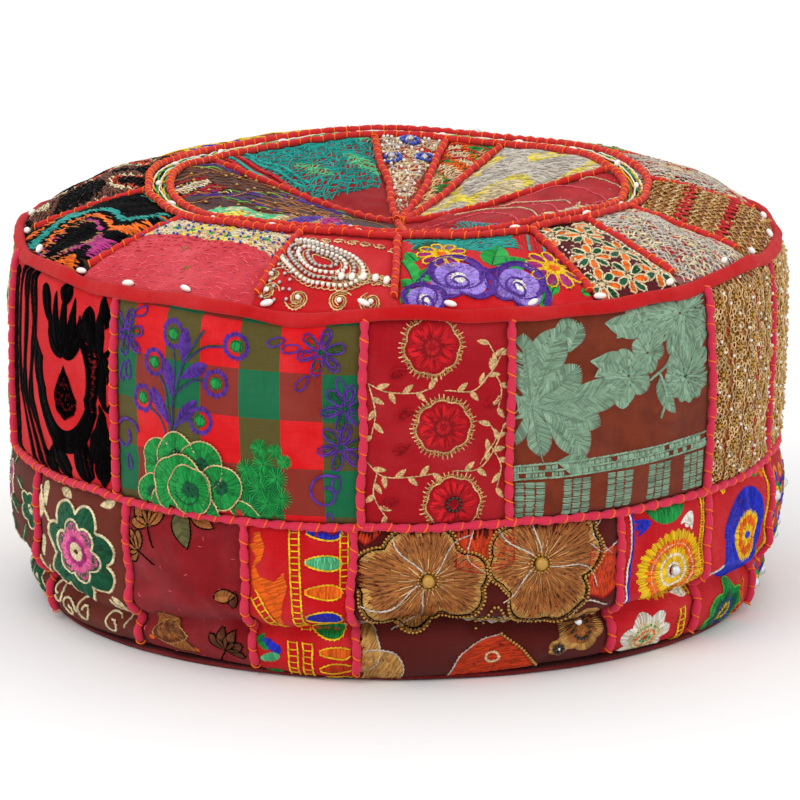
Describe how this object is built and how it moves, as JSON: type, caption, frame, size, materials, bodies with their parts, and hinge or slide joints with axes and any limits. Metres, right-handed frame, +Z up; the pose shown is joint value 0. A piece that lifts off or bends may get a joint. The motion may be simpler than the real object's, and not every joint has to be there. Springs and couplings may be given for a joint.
{
  "type": "patchwork floor pouf",
  "caption": "Round stuffed floor pouf with an embroidered patchwork cover, corded seams, beaded rim and a zipped flat base.",
  "frame": {"origin": "centre of the flat base, on the floor", "axes": "+Z up through the crown, -Y towards the viewed side of the cover, X along the zip"},
  "size_m": [0.4114, 0.4114, 0.2217],
  "materials": {
    "upper_patch_01": "embroidered cotton",
    "upper_patch_02": "embroidered cotton",
    "upper_patch_03": "embroidered cotton",
    "upper_patch_04": "embroidered cotton",
    "upper_patch_05": "embroidered cotton",
    "upper_patch_06": "embroidered cotton",
    "upper_patch_07": "embroidered cotton",
    "upper_patch_08": "embroidered cotton",
    "upper_patch_09": "embroidered cotton",
    "upper_patch_10": "embroidered cotton",
    "lower_patch_01": "embroidered cotton",
    "lower_patch_02": "embroidered cotton",
    "lower_patch_03": "embroidered cotton",
    "lower_patch_04": "embroidered cotton",
    "lower_patch_05": "embroidered cotton",
    "lower_patch_06": "embroidered cotton",
    "lower_patch_07": "embroidered cotton",
    "lower_patch_08": "embroidered cotton",
    "lower_patch_09": "embroidered cotton",
    "lower_patch_10": "embroidered cotton",
    "lower_patch_11": "embroidered cotton",
    "lower_patch_12": "embroidered cotton",
    "crown_patch_01": "embroidered cotton",
    "crown_patch_02": "embroidered cotton",
    "crown_patch_03": "embroidered cotton",
    "crown_patch_04": "embroidered cotton",
    "crown_patch_05": "embroidered cotton",
    "crown_patch_06": "embroidered cotton",
    "crown_patch_07": "embroidered cotton",
    "crown_patch_08": "embroidered cotton",
    "crown_patch_09": "embroidered cotton",
    "crown_patch_10": "embroidered cotton",
    "crown_patch_11": "embroidered cotton",
    "crown_patch_12": "embroidered cotton",
    "centre_patch_01": "embroidered cotton",
    "centre_patch_02": "embroidered cotton",
    "centre_patch_03": "embroidered cotton",
    "centre_patch_04": "embroidered cotton",
    "centre_patch_05": "embroidered cotton",
    "centre_patch_06": "embroidered cotton",
    "backing_cloth": "plain cotton",
    "muslin": "unbleached muslin",
    "wadding": "loose wadding",
    "base_cloth": "plain cotton canvas",
    "binding": "folded cotton, dull",
    "beads": "off-white glass beads on thread",
    "side_cord": "lumpy cotton cord",
    "top_cord": "cotton cord",
    "zip_tape": "woven tape",
    "zip_coil": "nylon coil",
    "zip_metal": "plated, worn"
  },
  "bodies": {
    "cover": {"upper_patch_01": "upper_patch_01", "upper_patch_02": "upper_patch_02", "upper_patch_03": "upper_patch_03", "upper_patch_04": "upper_patch_04", "upper_patch_05": "upper_patch_05", "upper_patch_06": "upper_patch_06", "upper_patch_07": "upper_patch_07", "upper_patch_08": "upper_patch_08", "upper_patch_09": "upper_patch_09", "upper_patch_10": "upper_patch_10", "lower_patch_01": "lower_patch_01", "lower_patch_02": "lower_patch_02", "lower_patch_03": "lower_patch_03", "lower_patch_04": "lower_patch_04", "lower_patch_05": "lower_patch_05", "lower_patch_06": "lower_patch_06", "lower_patch_07": "lower_patch_07", "lower_patch_08": "lower_patch_08", "lower_patch_09": "lower_patch_09", "lower_patch_10": "lower_patch_10", "lower_patch_11": "lower_patch_11", "lower_patch_12": "lower_patch_12", "crown_patch_01": "crown_patch_01", "crown_patch_02": "crown_patch_02", "crown_patch_03": "crown_patch_03", "crown_patch_04": "crown_patch_04", "crown_patch_05": "crown_patch_05", "crown_patch_06": "crown_patch_06", "crown_patch_07": "crown_patch_07", "crown_patch_08": "crown_patch_08", "crown_patch_09": "crown_patch_09", "crown_patch_10": "crown_patch_10", "crown_patch_11": "crown_patch_11", "crown_patch_12": "crown_patch_12", "centre_patch_01": "centre_patch_01", "centre_patch_02": "centre_patch_02", "centre_patch_03": "centre_patch_03", "centre_patch_04": "centre_patch_04", "centre_patch_05": "centre_patch_05", "centre_patch_06": "centre_patch_06", "cover_lining": "backing_cloth", "liner_side": "muslin", "liner_top": "muslin", "liner_base": "muslin", "filling": "wadding", "base_panel_left": "base_cloth", "base_panel_right": "base_cloth", "rim_binding": "binding", "rim_beads": "beads", "ring_beads": "beads", "side_seam_cords": "side_cord", "ring_cord_outer": "top_cord", "ring_cord_inner": "top_cord", "zip_tape_left": "zip_tape", "zip_tape_right": "zip_tape", "zip_coil_left": "zip_coil", "zip_coil_right": "zip_coil", "zip_end_stop": "zip_metal"},
    "slider": {"zip_slider": "zip_metal"},
    "pull": {"zip_pull": "zip_metal"}
  },
  "joints": [
    {"name": "zip_slide", "type": "slide", "parent": "cover", "child": "slider", "axis": [-1, 0, 0], "range_m": [0, 0.24]},
    {"name": "pull_hinge", "type": "hinge", "parent": "slider", "child": "pull", "pos_m": [0.126, 0, 0.0046], "axis": [0, -1, 0], "range_deg": [0, 175]}
  ]
}
